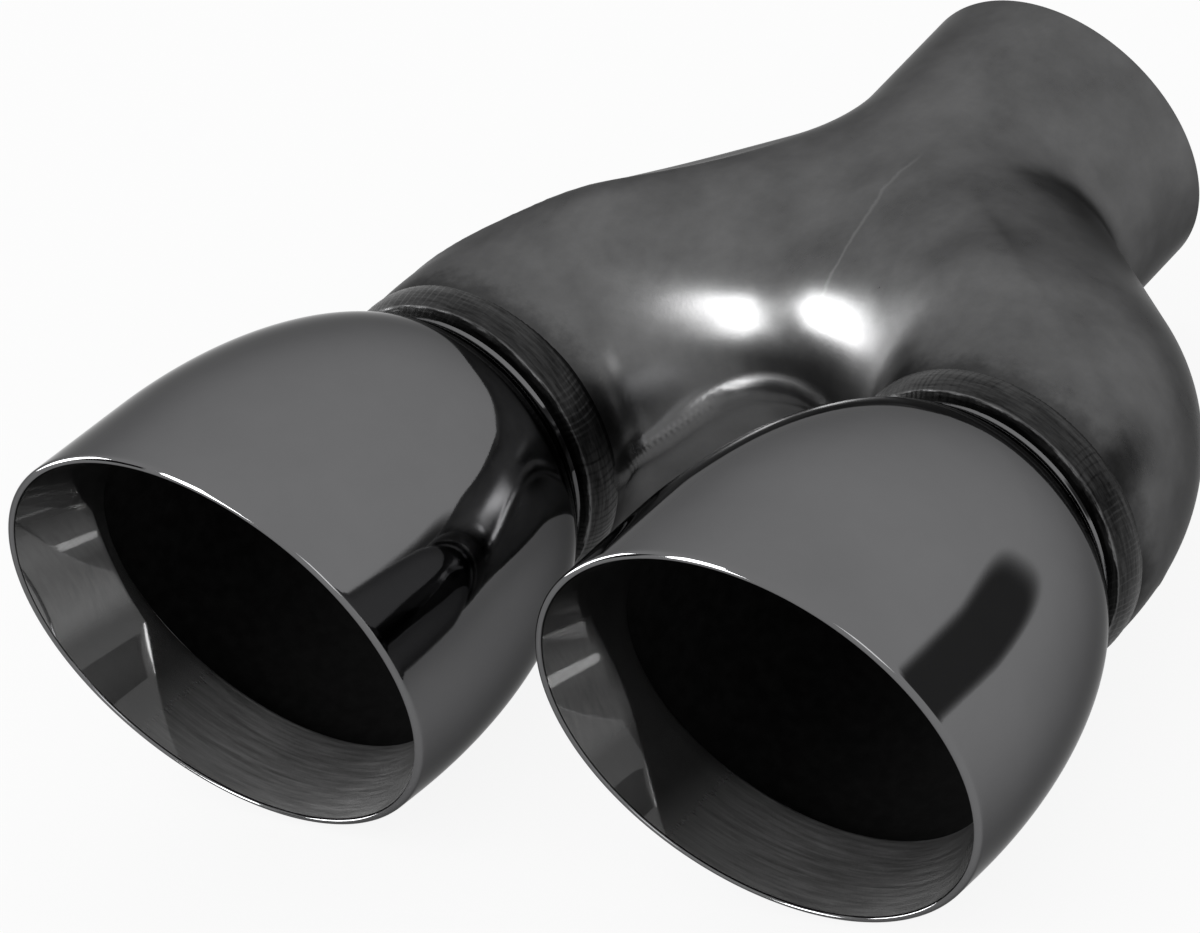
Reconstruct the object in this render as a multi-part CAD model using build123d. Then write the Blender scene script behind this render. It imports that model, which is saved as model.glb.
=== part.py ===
from build123d import *
import os
from math import acos, cos, degrees, radians, sin, sqrt, tan

# Twin exhaust tip: a Y pipe, two slash-cut barrels with turned-in lips, and the welds that join them.
# The origin is the centre of the inlet's mouth. The inlet's axis is +Y, and the barrels open to -Y.
# Lengths are in millimetres and angles in degrees.

# Tube of the Y pipe
inlet_pipe_diameter = 57.15   # the exhaust pipe that the inlet slips over
inlet_clearance = 0.375       # all round that pipe
pipe_wall = 1.6
inlet_straight = 24.3

# Each branch leaves the inlet in one bend and comes parallel again in another
outlet_spacing = 116.2
inlet_bend_radius = 41.0
outlet_bend_radius = 36.0
bend_angle = 50.5

# Web that fills the fork between the branches
web_reach = 7.1               # how far it stands forward of where the branches' inner sides would meet
web_drop = 2.55               # how far its top and bottom lie within the branches' height
web_corner = 15.0             # rounds its front edges
web_tail = 5.9                # how far its back runs up into the inlet's bend
fork_round = 10.0             # softens the valleys where the branches and the web meet

# Short last bend, which kicks each outlet up and splays it outwards
kick_angle = 6.0
splay_angle = 2.25
kick_radius = 34.0
outlet_straight = 2.0

# Fit of a barrel's neck in the end of its branch
neck_clearance = 0.3
neck_insertion = 4.0

# Barrel, measured from the front edge of its weld
barrel_diameter = 88.9
barrel_wall = 1.5
barrel_length = 74.9          # to the rim, along the axis
shoulder_length = 58.5        # to the start of the straight wall
shoulder_drop = 24.45         # radial half axis of the shoulder's ellipse
neck_round = 2.0
slash_angle = 15.0
rim_round = 1.1

# Turned-in lip
lip_wall = 1.2
lip_clearance = 0.05          # between its seat and the barrel's bore
lip_seat = 2.0                # length of the seat behind the rim
lip_bore = 73.6               # at the free edge
lip_depth = 18.9              # from the rim to the free edge, along the axis
lip_round = 0.4

# Weld bead over the end of each branch
bead_width = 4.7              # along the axis
bead_lap = 2.2                # how much of that lies on the branch
bead_crown = 1.2              # how far the bead swells out of a straight slope

# Modelling values, which the finished part doesn't show
cutter_overrun = 1.0          # how far a form that hollows a piece runs past its open end
plane_tolerance = 0.01        # an edge this near to a plane lies in it

pipe_bore_radius = inlet_pipe_diameter / 2 + inlet_clearance
pipe_radius = pipe_bore_radius + pipe_wall
barrel_radius = barrel_diameter / 2
neck_radius = pipe_bore_radius - neck_clearance
pipe_end = bead_width - bead_lap   # from the bead's front edge back to the end of the branch
slope = tan(radians(slash_angle))


def disc(centre, heading, radius):
    """Round face across a tube that heads this way."""
    return Plane(origin=centre, z_dir=heading) * Circle(radius)


class Route:
    """Centre line of a bent tube, laid one run after another."""

    def __init__(self, start, heading):
        self.end = Vector(*start)
        self.heading = Vector(*heading)
        self.runs = []

    def straight(self, length):
        self.runs.append((self.end, self.heading, None, length))
        self.end = self.end + self.heading * length

    def bend(self, inward, radius, angle):
        """Turn towards the inward side, which is square to the heading."""
        self.runs.append((self.end, self.heading, inward * radius, angle))
        turn = radians(angle)
        self.end = self.end + self.heading * (radius * sin(turn)) + inward * (radius * (1 - cos(turn)))
        self.heading = self.heading * cos(turn) + inward * sin(turn)

    def rod(self, radius, overrun=0):
        """Solid rod along the route, run on past both ends where asked."""
        pieces = []
        for start, heading, to_centre, amount in self.runs:
            section = disc(start, heading, radius)
            if to_centre is None:
                pieces.append(extrude(section, amount))
            else:
                hinge = Axis(start + to_centre, heading.cross(to_centre))
                pieces.append(revolve(section, hinge, amount))
        if overrun:
            first_start, first_heading = self.runs[0][:2]
            pieces.append(extrude(disc(first_start, -first_heading, radius), overrun))
            pieces.append(extrude(disc(self.end, self.heading, radius), overrun))
        rod = pieces[0]
        for piece in pieces[1:]:
            rod += piece
        return rod


def outlet_turn():
    """Orientation of the right barrel against the inlet."""
    return Rot(Z=splay_angle) * Rot(X=-kick_angle)


def right_branch():
    """Route of the right branch, from the inlet's mouth to the end that holds the barrel."""
    turn = radians(bend_angle)
    swing = (inlet_bend_radius + outlet_bend_radius) * (1 - cos(turn))
    rearward = Vector(0, -1, 0)
    outlet_heading = (outlet_turn() * Pos(0, -1, 0)).position
    kick_side = (outlet_heading - rearward * outlet_heading.dot(rearward)).normalized()
    route = Route((0, 0, 0), rearward)
    route.straight(inlet_straight)
    route.bend(Vector(1, 0, 0), inlet_bend_radius, bend_angle)
    route.straight((outlet_spacing / 2 - swing) / sin(turn))
    route.bend(Vector(-cos(turn), -sin(turn), 0), outlet_bend_radius, bend_angle)
    route.bend(kick_side, kick_radius, rearward.get_angle(outlet_heading))
    route.straight(outlet_straight)
    return route


def web(route, inset):
    """Block that fills the fork, rounded at its front. Its ends follow the branches' centre lines."""
    slanted_start, slanted_heading = route.runs[2][:2]
    meeting = slanted_start.Y - (slanted_start.X * slanted_heading.Y + pipe_radius) / slanted_heading.X
    front = meeting - web_reach + inset
    back = slanted_start.Y + web_tail
    height = 2 * (pipe_radius - web_drop - inset)
    side = Plane.YZ * Pos((front + back) / 2, 0) * Rectangle(back - front, height)
    front_corners = side.vertices().group_by(Axis.Y)[0]
    block = extrude(fillet(front_corners, web_corner - inset), route.end.X, both=True)
    right_end = Plane(slanted_start, z_dir=(slanted_heading.Y, -slanted_heading.X, 0))
    left_end = Plane((-slanted_start.X, slanted_start.Y, 0), z_dir=(-slanted_heading.Y, -slanted_heading.X, 0))
    return split(split(block, bisect_by=right_end, keep=Keep.TOP), bisect_by=left_end, keep=Keep.TOP)


def y_form(route, inset, overrun=0):
    """Both branches and the web as one solid, with the valleys between them rounded."""
    half = split(route.rod(pipe_radius - inset, overrun), bisect_by=Plane.YZ, keep=Keep.TOP)
    branches = half + mirror(half, Plane.YZ)
    block = web(route, inset)
    form = branches + block
    valleys = new_edges(branches, block, combined=form)
    for edge in form.edges().filter_by(GeomType.BSPLINE):
        if edge.bounding_box().size.X < plane_tolerance:
            valleys.append(edge)
    return fillet(valleys, fork_round + inset)


def y_pipe():
    """Tube that parts from one inlet into two S-bent branches, with a web across the fork."""
    route = right_branch()
    return y_form(route, 0) - y_form(route, pipe_wall, cutter_overrun)


def barrel_form(inset, rear, front):
    """Turned solid with a neck, an elliptical shoulder and a straight stretch, set in from the outer skin."""
    radius = barrel_radius - inset
    neck = neck_radius - inset
    drop = shoulder_drop - inset
    centre = radius - drop
    sweep = degrees(acos((neck - centre) / drop))
    shoulder = EllipticalCenterArc((centre, -shoulder_length), drop, shoulder_length - inset, arc_size=sweep)
    wall = Line((radius, -shoulder_length), (radius, front))
    core = Polyline((radius, front), (0, front), (0, rear), (neck, rear))
    side = Line((neck, rear), shoulder @ 1)
    form = revolve(make_face(shoulder + wall + core + side), Axis.Y, 360)
    corner = form.edges().filter_by(GeomType.CIRCLE).sort_by(Axis.Y)[-2]
    return fillet(corner, neck_round + inset)


def on_slash(edge):
    """Whether an edge lies in the plane of the slashed rim."""
    middle = edge @ 0.5
    return abs(middle.Y + barrel_length + slope * middle.Z) < plane_tolerance


def barrel():
    """Drawn shell: neck, bulged shoulder and straight wall, cut off on a slant."""
    front = -barrel_length - 2 * slope * barrel_radius
    rear = pipe_end + neck_insertion
    outside = barrel_form(0, rear, front)
    inside = barrel_form(barrel_wall, rear + cutter_overrun, front - cutter_overrun)
    slash = Plane(origin=(0, -barrel_length, 0), z_dir=(0, 1, slope))
    shell = split(outside - inside, bisect_by=slash, keep=Keep.TOP)
    rim = [edge for edge in shell.edges() if on_slash(edge)]
    outer_edge = max(rim, key=lambda edge: edge.length)
    return fillet(outer_edge, rim_round)


def slanted_disc(radius, depth):
    """Face that fills a round bore on a slant, this far behind the rim along the axis."""
    slant = Plane(origin=(0, depth - barrel_length, 0), x_dir=(1, 0, 0), z_dir=(0, 1, slope))
    return slant * Ellipse(radius, radius / cos(radians(slash_angle)))


def lip():
    """Ring that closes the barrel's wall: a short seat, then a cone that narrows inwards."""
    seat = barrel_radius - barrel_wall - lip_clearance
    mouth = seat - lip_wall
    taper = (mouth - lip_bore / 2) / lip_depth
    ring = loft([slanted_disc(seat, 0), slanted_disc(seat, lip_seat)], ruled=True)
    ring += loft([slanted_disc(seat, lip_seat), slanted_disc(lip_bore / 2 + lip_wall, lip_depth)], ruled=True)
    flare = taper * cutter_overrun
    front_cut = slanted_disc(mouth + flare, -cutter_overrun)
    back_cut = slanted_disc(lip_bore / 2 - flare, lip_depth + cutter_overrun)
    ring -= loft([front_cut, back_cut], ruled=True)
    edges = ring.edges().filter_by(GeomType.ELLIPSE).sort_by(Axis.Y)
    return fillet(edges[-2:], lip_round)


def weld_bead():
    """Fillet weld that laps over the end of the branch and runs down to the barrel's neck."""
    toe = (pipe_radius, bead_width)
    root = (neck_radius, 0)
    rise = pipe_radius - neck_radius
    length = sqrt(rise ** 2 + bead_width ** 2)
    crown = ((pipe_radius + neck_radius) / 2 + bead_crown * bead_width / length,
             bead_width / 2 - bead_crown * rise / length)
    face = ThreePointArc(toe, crown, root)
    seat = Polyline(root, (neck_radius, pipe_end), (pipe_radius, pipe_end), toe)
    return revolve(make_face(face + seat), Axis.Y, 360)


def right_weld():
    """Frame of the right barrel: its origin on the axis at the weld's front edge."""
    route = right_branch()
    weld = route.end + route.heading * pipe_end
    return Pos(weld.X, weld.Y, weld.Z) * outlet_turn()


def save_pair(name, piece):
    """Write the right piece and its mirror image on the left."""
    right = right_weld() * piece
    export_step(right, "parts/right_" + name + ".step")
    export_step(mirror(right, Plane.YZ), "parts/left_" + name + ".step")


os.makedirs("parts", exist_ok=True)
export_step(y_pipe(), "parts/y_pipe.step")
save_pair("barrel", barrel())
save_pair("inner_lip", lip())
save_pair("weld_bead", weld_bead())
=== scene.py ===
import math

import bpy
import numpy as np
from mathutils import Matrix, Vector


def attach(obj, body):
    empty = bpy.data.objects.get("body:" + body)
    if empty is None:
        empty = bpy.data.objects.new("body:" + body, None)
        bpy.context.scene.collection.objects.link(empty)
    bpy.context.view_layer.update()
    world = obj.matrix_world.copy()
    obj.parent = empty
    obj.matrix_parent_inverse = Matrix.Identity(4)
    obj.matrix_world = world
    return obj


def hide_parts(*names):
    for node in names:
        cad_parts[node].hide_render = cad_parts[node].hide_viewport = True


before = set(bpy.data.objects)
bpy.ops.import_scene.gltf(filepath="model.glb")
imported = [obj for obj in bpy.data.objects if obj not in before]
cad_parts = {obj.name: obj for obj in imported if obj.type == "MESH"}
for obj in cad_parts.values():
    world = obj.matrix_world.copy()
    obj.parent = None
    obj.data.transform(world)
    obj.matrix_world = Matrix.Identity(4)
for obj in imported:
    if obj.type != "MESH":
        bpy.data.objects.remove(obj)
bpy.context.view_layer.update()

scene = bpy.context.scene

# Camera
# A long lens looks down on the mouths from the front right, and is turned so that the inlet rises
# to the picture's upper right.
camera_azimuth = 43.78
camera_elevation = 31.71
camera_roll = math.radians(-17.21)
camera_distance = 3.0
camera_reach = 20
aim_right = -0.02162
aim_up = 0.00488
lens_mm = 494.7
sensor_mm = 36
weld_line_y = -0.1167       # the aim is measured from the middle of the line between the two welds


def direction(azimuth, elevation):
    """Unit vector this many degrees to the right of the front and above level."""
    turn, rise = math.radians(azimuth), math.radians(elevation)
    return Vector((math.sin(turn) * math.cos(rise), -math.cos(turn) * math.cos(rise), math.sin(rise)))


back = direction(camera_azimuth, camera_elevation)
level = direction(camera_azimuth + 90, 0)
upright = back.cross(level)
right = math.cos(camera_roll) * level + math.sin(camera_roll) * upright
up = -math.sin(camera_roll) * level + math.cos(camera_roll) * upright
place = Vector((0, weld_line_y, 0)) + back * camera_distance + right * aim_right + up * aim_up
camera = bpy.data.objects.new("camera", bpy.data.cameras.new("camera"))
scene.collection.objects.link(camera)
camera.matrix_world = Matrix((
    (right.x, up.x, back.x, place.x),
    (right.y, up.y, back.y, place.y),
    (right.z, up.z, back.z, place.z),
    (0, 0, 0, 1),
))
camera.data.sensor_width = sensor_mm
camera.data.lens = lens_mm
camera.data.clip_end = camera_reach
scene.camera = camera

# Floor
# A seamless sweep of white paper. The camera sees most of its own white, the polished metal sees less
# of it, and it keeps a soft shadow under the barrels.
floor_height = -0.0383
floor_size = 8
paper_grey = 0.9
white_for_camera = 0.9
white_for_metal = 0.3


def grey(level, more_blue=0):
    """Opaque grey, with a trace more blue where asked."""
    return (level, level, level + more_blue, 1)


def new_material(name, blank=False):
    """Material and its node tree. A blank one starts without a shader."""
    material = bpy.data.materials.new(name)
    material.use_nodes = True
    if blank:
        material.node_tree.nodes.clear()
    return material, material.node_tree


def feed(tree, node, inputs):
    """Give each input of a node its value, or link it from a socket."""
    for name, source in inputs.items():
        if isinstance(source, bpy.types.NodeSocket):
            tree.links.new(source, node.inputs[name])
        else:
            node.inputs[name].default_value = source


def add_node(tree, kind, inputs, **settings):
    """Shader node with its settings and inputs."""
    node = tree.nodes.new("ShaderNode" + kind)
    for setting, value in settings.items():
        setattr(node, setting, value)
    feed(tree, node, inputs)
    return node


def add_math(tree, operation, *terms):
    """Outcome of a sum whose terms are numbers or sockets."""
    return add_node(tree, "Math", dict(enumerate(terms)), operation=operation).outputs[0]


bpy.ops.object.select_all(action="DESELECT")
bpy.ops.mesh.primitive_plane_add(size=floor_size, location=(0, 0, floor_height))
floor = bpy.context.object
floor.name = "floor"
paper, tree = new_material("white_paper", blank=True)
ray = add_node(tree, "LightPath", {}).outputs
mirrored = add_math(tree, "MAXIMUM", ray["Is Glossy Ray"], ray["Is Transmission Ray"])
share = add_math(tree, "MULTIPLY_ADD", ray["Is Camera Ray"], white_for_camera,
                 add_math(tree, "MULTIPLY", mirrored, white_for_metal))
matt = add_node(tree, "BsdfDiffuse", {"Color": grey(paper_grey)})
white = add_node(tree, "Emission", {"Color": grey(1), "Strength": 1})
mixed = add_node(tree, "MixShader", {"Fac": share, 1: matt.outputs[0], 2: white.outputs[0]})
add_node(tree, "OutputMaterial", {"Surface": mixed.outputs[0]})
floor.data.materials.append(paper)

# Light
# A light tent of even brightness. Softboxes in front of it give the metal its highlights, and a dark
# flag keeps the two at the front apart. Another flag stands low behind the right barrel and gives its
# polished side a dark streak.
tent_strength = 0.85
tent_centre = Vector((0, -0.1, 0))
softbox_distance = 0.9
softboxes = [               # azimuth, elevation, size and brightness
    ("left_softbox", -71, 13, (0.34, 0.74), 21),
    ("front_softbox", -18, 23, (0.30, 0.92), 19),
    ("right_softbox", 55, 18, (0.30, 0.34), 3.5),
    ("front_flag", -45, 10, (0.32, 0.58), 0.01),
]
flag_centre = Vector((0.269, -0.004, 0.0184))
flag_facing = Vector((-0.844, -0.536, 0))
flag_size = (0.250, 0.126)
flag_grey = 0.08
flag_edge = 0.6             # it fades from this share of its half width and half height


def add_range(tree, value, source, target=(0, 1), curve="LINEAR"):
    """Value carried over from one range to another."""
    return add_node(tree, "MapRange", {
        "Value": value, "From Min": source[0], "From Max": source[1],
        "To Min": target[0], "To Max": target[1],
    }, interpolation_type=curve).outputs["Result"]


def add_vector_math(tree, operation, *terms):
    """Vector outcome of a sum whose terms are vectors or sockets."""
    return add_node(tree, "VectorMath", dict(enumerate(terms)), operation=operation).outputs["Vector"]


def card(name, centre, facing, size, level, brightness, edge=1):
    """Flat card that only reflections see. With an edge below 1 it is rounded and fades from there."""
    bpy.ops.object.select_all(action="DESELECT")
    bpy.ops.mesh.primitive_plane_add(size=1, location=centre)
    board = bpy.context.object
    board.name = name
    board.rotation_euler = facing.to_track_quat("Z", "Y").to_euler()
    board.scale = (*size, 1)
    glow, tree = new_material(name, blank=True)
    surface = add_node(tree, "Emission", {"Color": grey(level), "Strength": brightness})
    if edge < 1:
        spot = add_node(tree, "TexCoord", {}).outputs["UV"]
        off_centre = add_vector_math(tree, "MULTIPLY_ADD", spot, (2, 2, 0), (-1, -1, 0))
        squared = add_vector_math(tree, "MULTIPLY", off_centre, off_centre)
        fourth_power = add_vector_math(tree, "MULTIPLY", squared, squared)
        outwards = add_node(tree, "VectorMath", {0: fourth_power, 1: (1, 1, 0)}, operation="DOT_PRODUCT")
        fade = add_range(tree, outwards.outputs["Value"], (1, edge ** 4), curve="SMOOTHSTEP")
        clear = add_node(tree, "BsdfTransparent", {})
        surface = add_node(tree, "MixShader", {"Fac": fade, 1: clear.outputs[0], 2: surface.outputs[0]})
    add_node(tree, "OutputMaterial", {"Surface": surface.outputs[0]})
    board.data.materials.append(glow)
    board.visible_camera = False
    board.visible_diffuse = False
    board.visible_shadow = False


world = bpy.data.worlds.new("light_tent")
scene.world = world
world.use_nodes = True
feed(world.node_tree, world.node_tree.nodes["Background"], {"Color": grey(1), "Strength": tent_strength})
scene.view_settings.view_transform = "Standard"
for name, azimuth, elevation, size, brightness in softboxes:
    towards = direction(azimuth, elevation)
    card(name, tent_centre + towards * softbox_distance, -towards, size, 1, brightness)
card("flag", flag_centre, flag_facing, flag_size, flag_grey, 1, flag_edge)

# Barrels
# Each barrel is a drawn steel shell, plated in black chrome and near black and dull inside: a neck that
# sits in its branch, a bulged shoulder, a straight wall and a rim cut off on a slant and rounded.
barrel_radius = 0.04445
barrel_wall = 0.0015
barrel_length = 0.0749
shoulder_length = 0.0585
shoulder_drop = 0.02445
shoulder_steps = 40
neck_radius = 0.02865
neck_stations = (0.0065, 0.003, 0)
neck_round = 0.002
slash = math.tan(math.radians(15))
rim_round = 0.0011
rim_steps = 6
lean_start = 0.060          # behind this the wall is square to the axis
lean_end = 0.0729           # and from here on it is slanted like the rim
wall_stations = (-0.062, -0.066, -0.070, -lean_end)
inner_wall_stations = (-lean_end, -0.068, -0.062)
cone_start = 0.04312        # radius at which the lip's cone would reach the rim
cone_end = 0.0368
cone_depth = 0.0189
dark_inside_start = 0.0012         # behind the rim
ring_sides = 192
smooth_angle = math.radians(40)
dim_edge = grey(0.4)        # the metal mirrors less than white at a flat angle
right_weld = (Matrix.Translation((0.058350, -0.116776, 0.000669))
              @ Matrix.Rotation(math.radians(2.25), 4, "Z") @ Matrix.Rotation(math.radians(-6), 4, "X"))


def draw_out(name, stations, sides):
    """Ring of metal drawn out station by station, each a radius and a place along the axis."""
    bpy.ops.object.select_all(action="DESELECT")
    radius, along = stations[0]
    bpy.ops.mesh.primitive_circle_add(vertices=sides, radius=radius, location=(0, along, 0),
                                      rotation=(math.pi / 2, 0, 0))
    ring = bpy.context.object
    ring.name = name
    bpy.ops.object.transform_apply(location=True, rotation=True, scale=True)
    bpy.ops.object.mode_set(mode="EDIT")
    bpy.ops.mesh.select_all(action="SELECT")
    for (last_radius, last_along), (radius, along) in zip(stations, stations[1:]):
        bpy.ops.mesh.extrude_region_move(TRANSFORM_OT_translate={"value": (0, along - last_along, 0)})
        stretch = radius / last_radius
        bpy.ops.transform.resize(value=(stretch, 1, stretch), center_override=(0, along, 0))
    bpy.ops.mesh.select_all(action="SELECT")
    bpy.ops.mesh.remove_doubles(threshold=0.000002)
    bpy.ops.mesh.normals_make_consistent(inside=False)
    bpy.ops.object.mode_set(mode="OBJECT")
    return ring


def rounded_corner(before, corner, after, steps):
    """Stations of a curve that rounds a corner between two points on its sides."""
    curve = []
    for step in range(steps + 1):
        t = step / steps
        curve.append(tuple((1 - t) ** 2 * a + 2 * t * (1 - t) * b + t * t * c
                           for a, b, c in zip(before, corner, after)))
    return curve


def barrel_side(inset):
    """Stations of the barrel's side from the rear of its neck to the start of its straight wall."""
    drop = shoulder_drop - inset
    length = shoulder_length - inset
    centre = barrel_radius - shoulder_drop
    neck = neck_radius - inset
    meet = math.acos((neck - centre) / drop)
    steepness = math.atan2(drop * math.sin(meet), length * math.cos(meet))
    reach = (neck_round + inset) * math.tan(steepness / 2)
    pace = math.hypot(drop * math.sin(meet), length * math.cos(meet))
    leave = meet - reach / pace
    corner_along = -shoulder_length + length * math.sin(meet)
    shoulder = []
    for step in range(shoulder_steps + 1):
        angle = leave * (1 - step / shoulder_steps)
        shoulder.append((centre + drop * math.cos(angle), -shoulder_length + length * math.sin(angle)))
    bend = rounded_corner((neck, corner_along + reach), (neck, corner_along), shoulder[0], steps=5)
    return [(neck, along) for along in neck_stations] + bend[:-1] + shoulder


def lean(piece, first, last):
    """Slant a piece like the rim, more and more from one place along the axis to another."""
    for vertex in piece.data.vertices:
        share = min(max((-vertex.co.y - first) / (last - first), 0), 1)
        vertex.co.y -= slash * vertex.co.z * share


def place_pair(piece, right_name, left_name):
    """Put a finished piece on the right branch and its mirror image on the left."""
    piece.name = right_name
    piece.data.name = right_name
    piece.data.transform(right_weld)
    bpy.ops.object.select_all(action="DESELECT")
    piece.select_set(True)
    bpy.context.view_layer.objects.active = piece
    bpy.ops.object.duplicate()
    twin = bpy.context.object
    twin.name = left_name
    twin.data.name = left_name
    twin.scale.x = -1
    bpy.ops.object.transform_apply(location=True, rotation=True, scale=True)
    for side in (piece, twin):
        bpy.ops.object.select_all(action="DESELECT")
        side.select_set(True)
        bpy.context.view_layer.objects.active = side
        bpy.ops.object.mode_set(mode="EDIT")
        bpy.ops.mesh.select_all(action="SELECT")
        bpy.ops.mesh.normals_make_consistent(inside=False)
        bpy.ops.object.mode_set(mode="OBJECT")
        bpy.ops.object.shade_smooth_by_angle(angle=smooth_angle)
    return piece, twin


def add_noise(tree, vector, scale, detail, roughness=0.5):
    """Cloudy pattern between 0 and 1."""
    return add_node(tree, "TexNoise", {
        "Vector": vector, "Scale": scale, "Detail": detail, "Roughness": roughness,
    }).outputs["Fac"]


def add_ramp(tree, factor, stops):
    """Colour from a ramp of stops, each a position and a colour."""
    ramp = add_node(tree, "ValToRGB", {"Fac": factor})
    elements = ramp.color_ramp.elements
    for position, colour in stops[1:-1]:
        elements.new(position).color = colour
    for index in (0, -1):
        elements[index].position, elements[index].color = stops[index]
    return ramp.outputs["Color"]


def add_mix(tree, one, other, share=1, blend="MULTIPLY"):
    """Colour made of two others."""
    return add_node(tree, "Mix", {"Factor": share, "A": one, "B": other},
                    data_type="RGBA", blend_type=blend).outputs["Result"]


def add_bump(tree, height, strength, distance, **lower):
    """Normal of a surface with fine relief, which may lie on lower relief."""
    return add_node(tree, "Bump", {"Height": height, "Strength": strength, "Distance": distance,
                                   **lower}).outputs["Normal"]


taper = (cone_start - cone_end) / cone_depth
front_edge = barrel_radius - rim_round
inner_radius = barrel_radius - barrel_wall
wall = [(barrel_radius, along) for along in wall_stations]
inner_wall = [(inner_radius, along) for along in inner_wall_stations]
rim = []
for step in range(rim_steps + 1):
    angle = math.radians(90 * step / rim_steps)
    rim.append((front_edge + rim_round * math.cos(angle), -barrel_length + rim_round * (1 - math.sin(angle))))
rim_inside = rounded_corner((front_edge, -barrel_length), (cone_start, -barrel_length),
                            (inner_radius, -barrel_length + (cone_start - inner_radius) / taper),
                            steps=rim_steps)[1:]
outer_side = barrel_side(0)
inner_side = barrel_side(barrel_wall)
profile = outer_side + wall + rim + rim_inside + inner_wall + inner_side[::-1] + outer_side[:1]
barrel = draw_out("barrel", profile, ring_sides)
lean(barrel, lean_start, lean_end)

black_chrome, tree = new_material("black_chrome")
position = add_node(tree, "TexCoord", {}).outputs["Object"]
haze = add_noise(tree, position, scale=45, detail=5, roughness=0.6)
grain = add_noise(tree, position, scale=2600, detail=2)
feed(tree, tree.nodes["Principled BSDF"], {
    "Metallic": 1,
    "Specular Tint": dim_edge,
    "Base Color": add_mix(tree, grey(0.17, 0.0034), add_range(tree, haze, (0.3, 0.8), (0.96, 1.05))),
    "Roughness": add_range(tree, haze, (0.35, 0.75), (0.035, 0.085)),
    "Normal": add_bump(tree, grain, strength=0.02, distance=0.0001),
})
barrel.data.materials.append(black_chrome)

# The inside of each barrel, from just behind the rim, is coloured near black and dull.
dark_inside, tree = new_material("dark_inside")
speck = add_noise(tree, add_node(tree, "TexCoord", {}).outputs["Object"], scale=400, detail=5)
feed(tree, tree.nodes["Principled BSDF"], {
    "Base Color": add_ramp(tree, speck, [(0.35, grey(0.001)), (0.8, grey(0.006))]),
    "Roughness": 0.9,
    "Specular IOR Level": 0.1,
    "Normal": add_bump(tree, speck, strength=0.3, distance=0.0002),
})
barrel.data.materials.append(dark_inside)
for face in barrel.data.polygons:
    inwards = face.normal.x * face.center.x + face.normal.z * face.center.z < 0
    if inwards and face.center.y > -barrel_length - slash * face.center.z + dark_inside_start:
        face.material_index = 1
for piece, node in zip(place_pair(barrel, "right_shell", "left_shell"), ("right_barrel", "left_barrel")):
    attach(piece, "root")
    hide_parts(node)

# Inner lips
# A turned-in ring closes each barrel's wall at the rim: a short seat that is fixed in the bore, then
# a cone that narrows to a free edge. It is brushed steel, plated in black chrome with the barrel.
lip_seat_radius = 0.0429
lip_wall = 0.0012
lip_seat = 0.003
edge_round = 0.0005
cone_steps = 8
back_steps = 6
lip_lean_end = 0.001        # the whole lip is slanted like the rim
brushing_round = 3          # how fast the brushing changes round the lip
brushing_pitch = 0.0007     # and how far apart its lines lie
painted_light_height = (-1.6, -2.9)  # a highlight is painted on the lip's bottom between these heights, and the rest is painted darker
painted_light_tone = (0.18, 1.6)

free_edge = -barrel_length + cone_depth
cone_front = -barrel_length + (cone_start - lip_seat_radius) / taper
cone = []
for step in range(cone_steps + 1):
    along = cone_front + (free_edge - edge_round - cone_front) * step / cone_steps
    cone.append((cone_start - taper * (along + barrel_length), along))
outer_cone = []
for step in range(1, back_steps + 1):
    share = step / back_steps
    outer_cone.append((lip_seat_radius + (cone_end + lip_wall - lip_seat_radius) * share,
                       -barrel_length + lip_seat + (cone_depth - lip_seat) * share))
free = rounded_corner(cone[-1], (cone_end, free_edge), (cone_end + edge_round, free_edge), steps=4)
section = cone[:-1] + free + outer_cone[::-1]
section += [(lip_seat_radius, -barrel_length + lip_seat), cone[0]]
lip = draw_out("lip", section, ring_sides)
brushing = []
for vertex in lip.data.vertices:
    x, y, z = vertex.co
    radius = math.hypot(x, z)
    brushing += [brushing_round * x / radius, brushing_round * z / radius, (y + barrel_length) / brushing_pitch]
layer = lip.data.attributes.new("brushing", "FLOAT_VECTOR", "POINT")
layer.data.foreach_set("vector", brushing)
lean(lip, 0, lip_lean_end)

brushed_chrome, tree = new_material("brushed_black_chrome")
brushed = add_node(tree, "Attribute", {}, attribute_name="brushing").outputs["Vector"]
streaks = add_noise(tree, brushed, scale=1, detail=6, roughness=0.7)
tone = add_ramp(tree, streaks, [(0.35, grey(0.13)), (0.7, grey(0.19))])
lip_height = add_node(tree, "SeparateXYZ", {0: brushed}).outputs["Y"]
feed(tree, tree.nodes["Principled BSDF"], {
    "Metallic": 1,
    "Specular Tint": dim_edge,
    "Coat Weight": 1,
    "Coat IOR": 2.6,
    "Coat Roughness": 0.03,
    # Painted light: the lip's colour is darkened over most of its round and brightened at its bottom as a
    # painted highlight.
    "Base Color": add_mix(tree, tone, add_range(tree, lip_height, painted_light_height, painted_light_tone, "SMOOTHSTEP")),
    "Roughness": add_range(tree, streaks, (0, 1), (0.32, 0.5)),
    "Normal": add_bump(tree, streaks, strength=0.15, distance=0.0001),
})
lip.data.materials.append(brushed_chrome)
for piece, node in zip(place_pair(lip, "right_lip", "left_lip"), ("right_inner_lip", "left_inner_lip")):
    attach(piece, "root")
    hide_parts(node)

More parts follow.
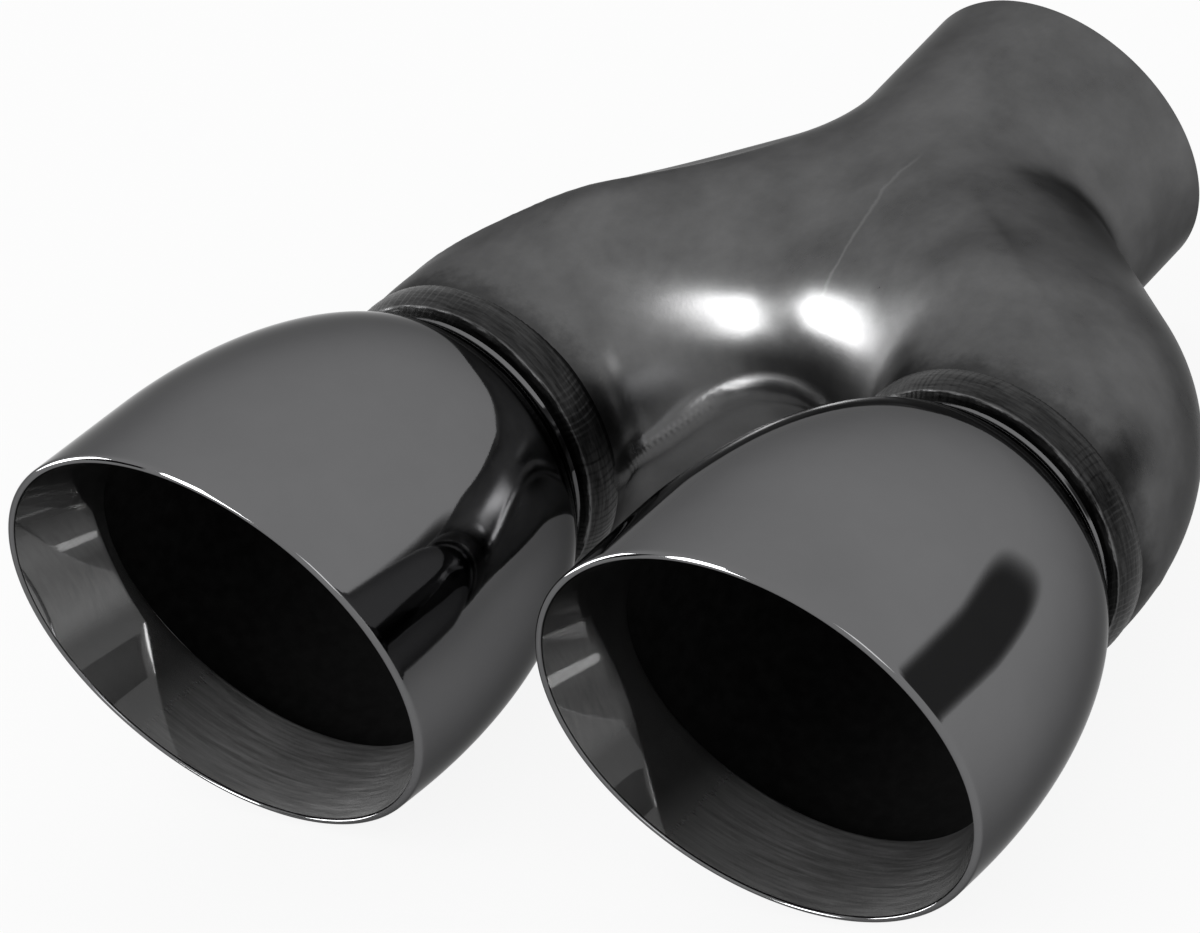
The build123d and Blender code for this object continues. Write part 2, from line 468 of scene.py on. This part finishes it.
# Weld beads
# A fillet weld runs round the end of each branch, down to the barrel's neck. It is laid in small
# overlapping ripples and is dark from the heat.
pipe_radius = 0.03055
pipe_end = 0.0025
bead_width = 0.0066         # how far it laps back over the branch
bead_lift = 0.00005         # its upper edge stands this high on the branch
bead_foot = -0.0023         # its lower edge wets this far down the neck
bead_swell = (0.0316, 0.0015)
bead_steps = 22
bead_sides = 960
face_height = 0.00002       # points higher than this over the chord lie on the bead's face
ripples = 130
ripple_height = 0.00006
ripple_depth = 0.00003
ripple_fade = 0.0003        # the ripples die out where the bead is lower than this
ridge_height = 0.00016      # a ragged ridge runs near the bead's lower edge
ridge_place = 0.22
ridge_width = 0.05
ridge_stray = 0.02
laid_round = 3              # how fast the streaks change round the bead
laid_across = 9             # and across it

toe = Vector((pipe_radius + bead_lift, bead_width))
root = Vector((neck_radius, bead_foot))
chord = toe - root
outward = Vector((chord.y, -chord.x)).normalized()
crest = rounded_corner(tuple(root), bead_swell, tuple(toe), steps=bead_steps)
seat = [(pipe_radius, pipe_end), (neck_radius, pipe_end), (neck_radius, bead_foot)]
bead = draw_out("bead", crest + seat, bead_sides)
laid = []
across = []
for vertex in bead.data.vertices:
    x, y, z = vertex.co
    radius = math.hypot(x, z)
    from_root = Vector((radius, y)) - root
    height = from_root.dot(outward)
    t = min(max(from_root.dot(chord) / chord.length_squared, 0), 1)
    laid += [laid_round * x / radius, laid_round * z / radius, laid_across * t]
    across.append(t)
    if height > face_height:
        around = math.atan2(z, x)
        wander = 0.35 * math.sin(around * 7) + 0.25 * math.sin(around * 17 + 1)
        phase = around * ripples / (2 * math.pi) + 0.55 * (2 * t - 1) ** 2 + wander
        lift = ripple_height * (1 - phase % 1) * min(height / ripple_fade, 1) - ripple_depth
        lift *= 1 + 0.3 * math.sin(around * 29 + 3 * t)
        stray = ridge_stray * (math.sin(around * 23) + math.sin(around * 41 + 2))
        lift += ridge_height * math.exp(-((t - ridge_place - stray) / ridge_width) ** 2)
        spread = lift * outward.x / radius
        vertex.co.x += x * spread
        vertex.co.z += z * spread
        vertex.co.y += lift * outward.y
layer = bead.data.attributes.new("laid", "FLOAT_VECTOR", "POINT")
layer.data.foreach_set("vector", laid)
layer = bead.data.attributes.new("across", "FLOAT", "POINT")
layer.data.foreach_set("value", across)

# Painted shade makes a black groove along the lower edge, and a painted highlight makes a thin bright line
# above it. Then comes the dark body of the bead.
bead_bands_with_painted_light = [(0.16, 0.01), (0.26, 0.06), (0.3, 0.8), (0.335, 0.2), (0.98, 0.26), (1, 0.08)]
weld_metal, tree = new_material("weld_metal")
position = add_node(tree, "TexCoord", {}).outputs["Object"]
drawn = add_node(tree, "Attribute", {}, attribute_name="laid").outputs["Vector"]
bead_share = add_node(tree, "Attribute", {}, attribute_name="across").outputs["Fac"]
streaks = add_noise(tree, drawn, scale=1.6, detail=6, roughness=0.65)
specks = add_noise(tree, position, scale=1100, detail=4)
jagged = add_math(tree, "MULTIPLY_ADD", streaks, 0.16, bead_share)
band_with_painted_light = add_ramp(tree, jagged, [(stop, grey(level)) for stop, level in bead_bands_with_painted_light])
tone = add_ramp(tree, streaks, [(0.35, grey(0.07, 0.001)), (0.72, grey(0.26, 0.002))])
relief = add_math(tree, "MULTIPLY_ADD", specks, 0.3, streaks)
feed(tree, tree.nodes["Principled BSDF"], {
    "Metallic": 1,
    # The bands hold a painted shadow in the groove and a painted highlight on the thin line.
    "Base Color": add_mix(tree, band_with_painted_light, tone),
    "Roughness": add_range(tree, specks, (0, 1), (0.22, 0.5)),
    "Normal": add_bump(tree, relief, strength=0.4, distance=0.00015),
})
bead.data.materials.append(weld_metal)
for piece, node in zip(place_pair(bead, "right_weld", "left_weld"), ("right_weld_bead", "left_weld_bead")):
    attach(piece, "root")
    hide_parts(node)

# Y pipe
# One formed steel tube parts from the slip-on inlet into two branches. A full web joins the branches
# at the fork, and a fine seam runs across its front and along their inner sides.
pipe_wall = 0.0016
pipe_sides = 64
inlet_straight = 0.0243
outlet_spacing = 0.1162
inlet_bend_radius = 0.041
outlet_bend_radius = 0.036
bend_angle = math.radians(50.5)
bend_step = 3               # degrees between two rings of a bend
least_bend_steps = 3
kick_radius = 0.034
outlet_straight = 0.002
run_on = 0.004              # the tubes are made this much longer and then cut off square
web_width = 0.04            # of the first block; the branches' centre lines then bound it
web_front = -0.0903
web_back = -0.050
web_half_height = 0.0252
web_corner = 0.015
fork_round = 0.012
web_blend = 0.012
knuckle = (0.043, -0.082)   # the branches' tops swell where they turn
knuckle_width = 0.015
knuckle_swell = 0.09
knuckle_height = 0.02       # the swelling is whole above this
seam_points = [             # down the right half of the seam, to the middle of the web
    (0.027, -0.1102, -0.005), (0.0255, -0.1060, -0.0035), (0.0225, -0.1005, -0.001),
    (0.0175, -0.0960, 0.002), (0.011, -0.0923, 0.0045), (0.005, -0.0909, 0.0056), (0, -0.0907, 0.006),
]
seam_steps = 8
seam_radius = 0.0026
seam_height = 0.0012
seam_blend = 0.0018
seam_zone = (0.04, -0.075, 0.025)   # half width, rear and half height of the space that holds the seam
voxel = 0.0011
y_smooth_angle = math.radians(50)

rearward = Vector((0, -1, 0))
outlet_heading = (right_weld.to_3x3() @ rearward).normalized()
kick_side = (outlet_heading - rearward * outlet_heading.dot(rearward)).normalized()
kick_angle = rearward.angle(outlet_heading)
swing = (inlet_bend_radius + outlet_bend_radius) * (1 - math.cos(bend_angle))
slanted = (outlet_spacing / 2 - swing) / math.sin(bend_angle)
turned_side = Vector((-math.cos(bend_angle), -math.sin(bend_angle), 0))
moves = [
    (None, 0, inlet_straight),
    (Vector((1, 0, 0)), inlet_bend_radius, bend_angle),
    (None, 0, slanted),
    (turned_side, outlet_bend_radius, bend_angle),
    (kick_side, kick_radius, kick_angle),
    (None, 0, outlet_straight + run_on),
]

bpy.ops.object.select_all(action="DESELECT")
bpy.ops.mesh.primitive_circle_add(vertices=pipe_sides, radius=pipe_radius, fill_type="NGON",
                                  location=(0, run_on, 0), rotation=(math.pi / 2, 0, 0))
y_body = bpy.context.object
bpy.ops.object.transform_apply(location=True, rotation=True, scale=True)
bpy.ops.object.mode_set(mode="EDIT")
bpy.ops.mesh.select_all(action="SELECT")
bpy.ops.mesh.extrude_region_move(TRANSFORM_OT_translate={"value": (0, -run_on, 0)})
end = Vector((0, 0, 0))
heading = rearward.copy()
runs = []
for side, radius, amount in moves:
    runs.append((end.copy(), heading.copy(), side, radius, amount))
    if side is None:
        bpy.ops.mesh.extrude_region_move(TRANSFORM_OT_translate={"value": tuple(heading * amount)})
        end = end + heading * amount
    else:
        steps = max(int(math.degrees(amount) / bend_step), least_bend_steps)
        bpy.ops.mesh.spin(steps=steps, angle=-amount,
                          center=tuple(end + side * radius), axis=tuple(heading.cross(side)))
        end = end + heading * (radius * math.sin(amount)) + side * (radius * (1 - math.cos(amount)))
        heading = heading * math.cos(amount) + side * math.sin(amount)
branch_end = end - heading * run_on
bpy.ops.object.mode_set(mode="OBJECT")
bpy.ops.object.duplicate()
bpy.context.object.scale.x = -1
bpy.ops.object.transform_apply(location=False, rotation=False, scale=True)
y_body.select_set(True)
bpy.context.view_layer.objects.active = y_body
bpy.ops.object.join()
bpy.ops.mesh.primitive_cube_add(size=1, location=(0, (web_front + web_back) / 2, 0))
web = bpy.context.object
web.scale = (web_width, web_back - web_front, 2 * web_half_height)
bpy.ops.object.transform_apply(location=True, rotation=True, scale=True)
y_body.select_set(True)
bpy.context.view_layer.objects.active = y_body
bpy.ops.object.join()
y_body.name = "y_body"
bpy.ops.object.mode_set(mode="EDIT")
bpy.ops.mesh.select_all(action="SELECT")
bpy.ops.mesh.normals_make_consistent(inside=False)
bpy.ops.object.mode_set(mode="OBJECT")
y_body.data.remesh_voxel_size = voxel
y_body.data.remesh_voxel_adaptivity = 0
bpy.ops.object.voxel_remesh()


def centre_line(points):
    """Nearest point of the right branch's centre line to each point, and how far off it is."""
    nearest = np.zeros_like(points)
    least = np.full(len(points), np.inf)
    for start, heading, side, radius, amount in runs:
        if side is None:
            first = -2 * run_on if start.length == 0 else 0
            along = np.clip((points - np.array(start)) @ np.array(heading), first, amount)
            spot = np.array(start) + along[:, None] * np.array(heading)
        else:
            hub = np.array(start + side * radius)
            angle = np.arctan2((points - hub) @ np.array(heading), (points - hub) @ -np.array(side))
            angle = np.clip(angle, 0, amount)
            spot = hub + radius * (np.cos(angle)[:, None] * -np.array(side)
                                   + np.sin(angle)[:, None] * np.array(heading))
        gap = np.linalg.norm(points - spot, axis=1)
        nearer = gap < least
        least[nearer] = gap[nearer]
        nearest[nearer] = spot[nearer]
    return nearest, least


def blended(one, other, width):
    """Nearer of two surfaces, rounded into each other where they meet."""
    overlap = np.maximum(width - np.abs(one - other), 0) / np.maximum(width, 1e-9)
    return np.minimum(one, other) - overlap * overlap * width / 4


def skin_height(points):
    """Height of each point over the skin of the forked tube, without its seam."""
    mirror = np.array((-1, 1, 1))
    off_knuckle = (np.abs(points[:, 0]) - knuckle[0]) ** 2 + (points[:, 1] - knuckle[1]) ** 2
    swell = knuckle_swell * np.exp(-off_knuckle / knuckle_width ** 2)
    swell *= np.clip(points[:, 2] / knuckle_height, 0, 1)
    points = points / (1 + swell[:, None] * np.array((0, 0, 1)))
    right_spot, right_gap = centre_line(points)
    left_spot, left_gap = centre_line(points * mirror)
    right_out = (points - right_spot) / right_gap[:, None]
    left_out = (points * mirror - left_spot) * mirror / left_gap[:, None]
    half_turn = np.sqrt(np.clip((1 + (right_out * left_out).sum(1)) / 2, 0, 1))
    tubes = blended(right_gap - pipe_radius, left_gap - pipe_radius, 4 * fork_round * (1 - half_turn))
    reach_y = np.abs(points[:, 1] - (web_front + web_back) / 2) - ((web_back - web_front) / 2 - web_corner)
    reach_z = np.abs(points[:, 2]) - (web_half_height - web_corner)
    block = np.hypot(np.maximum(reach_y, 0), np.maximum(reach_z, 0))
    block += np.minimum(np.maximum(reach_y, reach_z), 0) - web_corner
    slanted_start, slanted_heading = runs[2][:2]
    past_end = ((np.abs(points[:, 0]) - slanted_start.x) * -slanted_heading.y
                + (points[:, 1] - slanted_start.y) * slanted_heading.x)
    return blended(tubes, np.maximum(block, past_end), web_blend)


def settle(points, height_of, rounds):
    """Move each point onto the surface where the height is nought."""
    step = 0.00002
    least_slope = 0.25
    for _ in range(rounds):
        height = height_of(points)
        slope = np.zeros_like(points)
        for axis in range(3):
            nudge = np.zeros(3)
            nudge[axis] = step
            slope[:, axis] = (height_of(points + nudge) - height_of(points - nudge)) / (2 * step)
        points = points - (height / np.maximum((slope * slope).sum(1), least_slope))[:, None] * slope
    return points, slope


def seam_line():
    """Line along the middle of the seam's round section, just under the skin."""
    corners = [np.array(point) for point in seam_points]
    corners = corners + [point * np.array((-1, 1, 1)) for point in corners[-2::-1]]
    line = []
    for index in range(len(corners) - 1):
        before = corners[max(index - 1, 0)]
        after = corners[min(index + 2, len(corners) - 1)]
        here, there = corners[index], corners[index + 1]
        for step in range(seam_steps):
            t = step / seam_steps
            line.append(0.5 * (2 * here + (there - before) * t
                               + (2 * before - 5 * here + 4 * there - after) * t * t
                               + (3 * here - before - 3 * there + after) * t ** 3))
    line.append(corners[-1])
    line, slope = settle(np.array(line), skin_height, rounds=4)
    inward = slope / np.linalg.norm(slope, axis=1)[:, None]
    return line - inward * (seam_radius - seam_height)


seam = seam_line()


def seam_gap(points):
    """Distance from each point to the middle of the seam, and how far along the seam that is."""
    least = np.full(len(points), np.inf)
    along = np.zeros(len(points))
    travelled = 0.0
    for start, stop in zip(seam, seam[1:]):
        run = stop - start
        length = np.linalg.norm(run)
        share = np.clip((points - start) @ run / length ** 2, 0, 1)
        gap = np.linalg.norm(points - start - share[:, None] * run, axis=1)
        nearer = gap < least
        least[nearer] = gap[nearer]
        along[nearer] = travelled + share[nearer] * length
        travelled += length
    return least, along


def finished_height(points):
    """Height of each point over the skin, with the seam standing out of it."""
    height = skin_height(points)
    half_width, rear, half_height = seam_zone
    near = np.abs(points[:, 0]) < half_width
    near &= (points[:, 1] < rear) & (np.abs(points[:, 2]) < half_height)
    if near.any():
        height[near] = blended(height[near], seam_gap(points[near])[0] - seam_radius, seam_blend)
    return height


def point_places(piece):
    """Places of a piece's points, one row each."""
    places = np.zeros(len(piece.data.vertices) * 3)
    piece.data.vertices.foreach_get("co", places)
    return places.reshape(-1, 3)


for _ in range(2):
    bpy.ops.object.mode_set(mode="EDIT")
    bpy.ops.mesh.select_all(action="SELECT")
    bpy.ops.mesh.vertices_smooth(factor=0.5, repeat=6)
    bpy.ops.object.mode_set(mode="OBJECT")
    places = settle(point_places(y_body), finished_height, rounds=4)[0]
    y_body.data.vertices.foreach_set("co", places.ravel())
bpy.ops.object.mode_set(mode="EDIT")
left_end = Vector((-branch_end.x, branch_end.y, branch_end.z))
left_heading = Vector((-heading.x, heading.y, heading.z))
for spot, outward in ((Vector((0, 0, 0)), -rearward), (branch_end, heading), (left_end, left_heading)):
    bpy.ops.mesh.select_all(action="SELECT")
    bpy.ops.mesh.bisect(plane_co=tuple(spot), plane_no=tuple(outward), clear_outer=True)
bpy.ops.mesh.select_all(action="SELECT")
bpy.ops.mesh.normals_make_consistent(inside=False)
bpy.ops.object.mode_set(mode="OBJECT")

# Each point keeps how far it lies behind the weld and from the seam, for the stains and ripples there.
places = point_places(y_body)
folded = places.copy()
folded[:, 0] = np.abs(folded[:, 0])
behind_weld = (folded - np.array(branch_end)) @ -np.array(heading)
seam_near, seam_along = seam_gap(places)
for name, values in (("behind_weld", behind_weld), ("seam_near", seam_near), ("seam_along", seam_along)):
    layer = y_body.data.attributes.new(name, "FLOAT", "POINT")
    layer.data.foreach_set("value", values.astype(np.float32))
y_wall = y_body.modifiers.new("wall", "SOLIDIFY")
y_wall.thickness = pipe_wall
y_wall.offset = -1
bpy.ops.object.modifier_apply(modifier=y_wall.name)
bpy.ops.object.shade_smooth_by_angle(angle=y_smooth_angle)

steel, tree = new_material("pipe_steel")
position = add_node(tree, "TexCoord", {}).outputs["Object"]
at = add_node(tree, "SeparateXYZ", {0: position}).outputs
mottle = add_noise(tree, position, scale=55, detail=8, roughness=0.62)
grain = add_noise(tree, position, scale=1500, detail=4)
base = add_ramp(tree, mottle, [(0.25, grey(0.085, 0.001)), (0.8, grey(0.165, 0.001))])

# The heat of each weld leaves a dark stain with a ragged edge.
cloud = add_noise(tree, position, scale=140, detail=5, roughness=0.7)
weld_distance = add_node(tree, "Attribute", {}, attribute_name="behind_weld").outputs["Fac"]
ragged = add_math(tree, "MULTIPLY_ADD", cloud, 0.012, weld_distance)
stained = add_mix(tree, base, add_range(tree, ragged, (0.009, 0.0165), (0.5, 1), "SMOOTHSTEP"))

# A faint scratch wavers along the top, from the inlet to the fork.
scratch_x = 0.0125
scratch_ends = [(0.09, 0), (0.14, 1), (0.45, 0.7), (0.5, 0), (1, 0)]
waver = add_math(tree, "MULTIPLY_ADD", mottle, 0.006, at["X"])
beside = add_math(tree, "ABSOLUTE", add_math(tree, "SUBTRACT", waver, scratch_x))
scratch = add_range(tree, beside, (0.0006, 0.0001), (0, 0.22))
along_top = add_range(tree, at["Y"], (-0.095, 0))
scratch_end = add_ramp(tree, along_top, [(stop, grey(level)) for stop, level in scratch_ends])
kept_scratch = add_math(tree, "MULTIPLY", scratch, scratch_end)
top_scratch = add_math(tree, "MULTIPLY", kept_scratch, add_range(tree, at["Z"], (0, 0.002)))
scratched = add_mix(tree, stained, grey(0.35), top_scratch, "MIX")

# Beside the web the seam is rippled, and a highlight is painted on it there as a lighter grey.
seam_pitch = 0.0013
seam_distance = add_node(tree, "Attribute", {}, attribute_name="seam_near").outputs["Fac"]
seam_travel = add_node(tree, "Attribute", {}, attribute_name="seam_along").outputs["Fac"]
on_seam = add_range(tree, seam_distance, (0.0030, 0.0022), (0, 0.4))
past_web = add_range(tree, add_math(tree, "ABSOLUTE", at["X"]), (0.0115, 0.015))
seam_sheen_and_ripple = add_math(tree, "MULTIPLY", on_seam, past_web)
ripple = add_math(tree, "SINE", add_math(tree, "MULTIPLY", seam_travel, 2 * math.pi / seam_pitch))
seam_ripple = add_math(tree, "MULTIPLY", ripple, seam_sheen_and_ripple)
fine_bump = add_bump(tree, grain, strength=0.12, distance=0.0001)
feed(tree, tree.nodes["Principled BSDF"], {
    "Metallic": 1,
    "Specular Tint": dim_edge,
    # A painted highlight: the seam is coloured lighter grey.
    "Base Color": add_mix(tree, scratched, grey(0.3), seam_sheen_and_ripple, "MIX"),
    "Roughness": add_range(tree, mottle, (0, 1), (0.22, 0.36)),
    "Normal": add_bump(tree, seam_ripple, strength=0.8, distance=0.0001, Normal=fine_bump),
})
y_body.data.materials.clear()
y_body.data.materials.append(steel)
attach(y_body, "root")
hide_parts("y_pipe")
